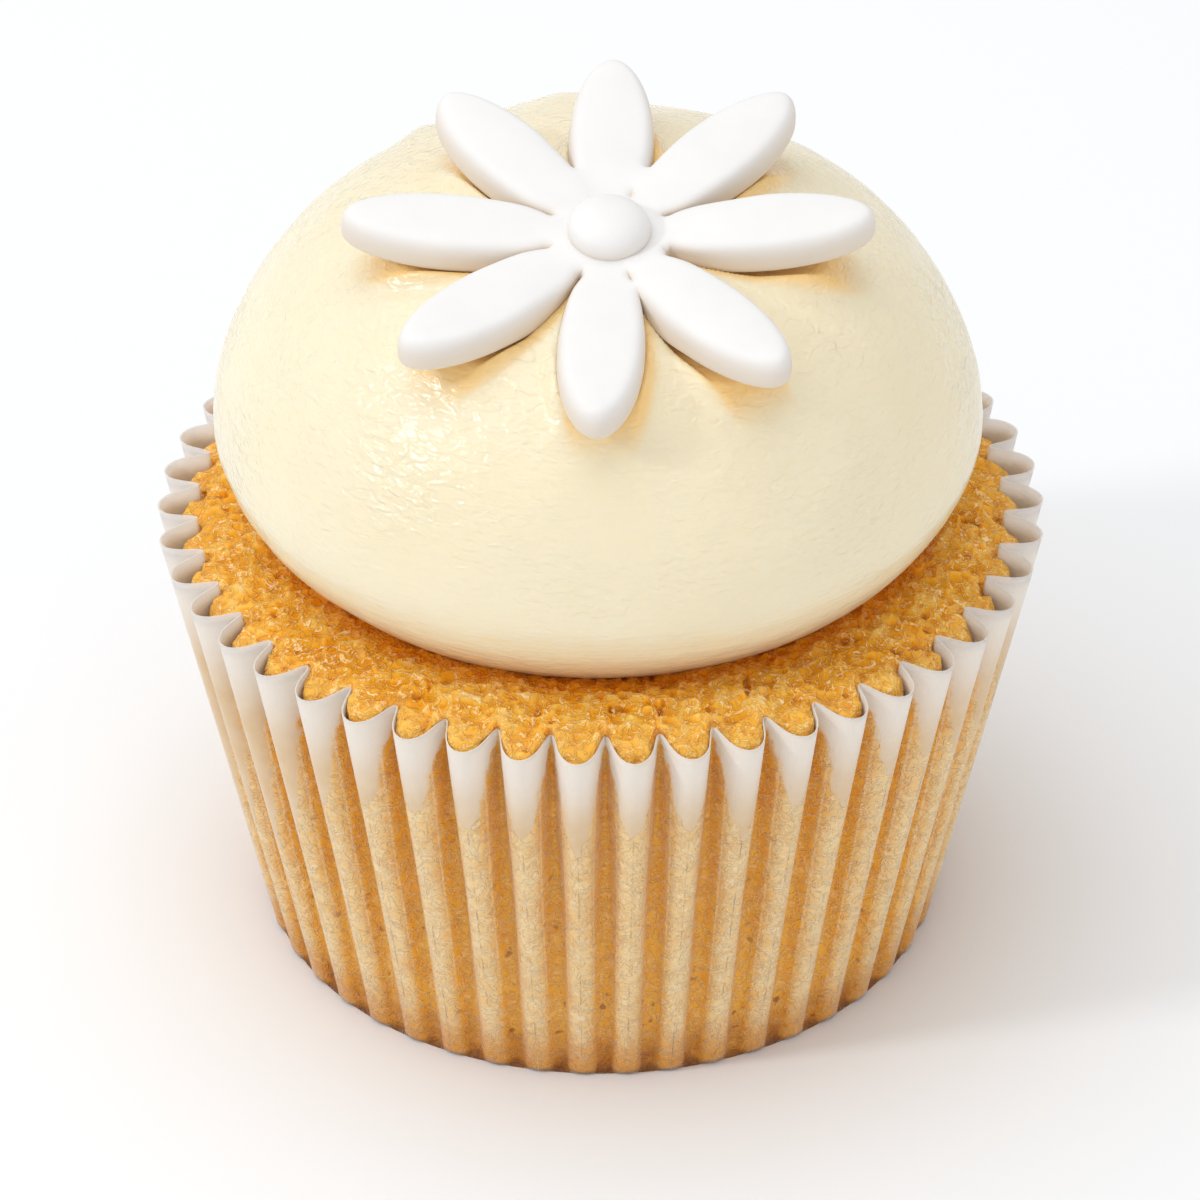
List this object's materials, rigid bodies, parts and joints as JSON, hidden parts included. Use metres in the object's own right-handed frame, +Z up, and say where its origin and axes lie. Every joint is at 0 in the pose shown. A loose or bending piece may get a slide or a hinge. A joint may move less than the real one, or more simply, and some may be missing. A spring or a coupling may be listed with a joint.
{
  "type": "cupcake",
  "caption": "Cupcake in a pleated paper case, with a smooth dome of ivory icing and a white sugar daisy pressed on the top.",
  "frame": {"origin": "middle of the paper case's flat underside", "axes": "+Z up along the case's axis, -Y towards the side that the daisy leans to, +X to the right seen from there"},
  "size_m": [0.064, 0.064, 0.0633],
  "materials": {
    "paper": "thin greaseproof baking paper, white where it stands free and golden where it clings to the sponge",
    "sponge_crumb": "golden baked sponge with a fine moist crumb",
    "icing_cream": "smooth ivory icing with a soft shine and faint marks of a knife",
    "sugar": "matt white moulded sugar",
    "sugar_button": "matt white moulded sugar"
  },
  "bodies": {
    "root": {"paper_case": "paper", "sponge": "sponge_crumb", "icing": "icing_cream", "daisy_petals": "sugar", "daisy_centre": "sugar_button"}
  },
  "joints": []
}
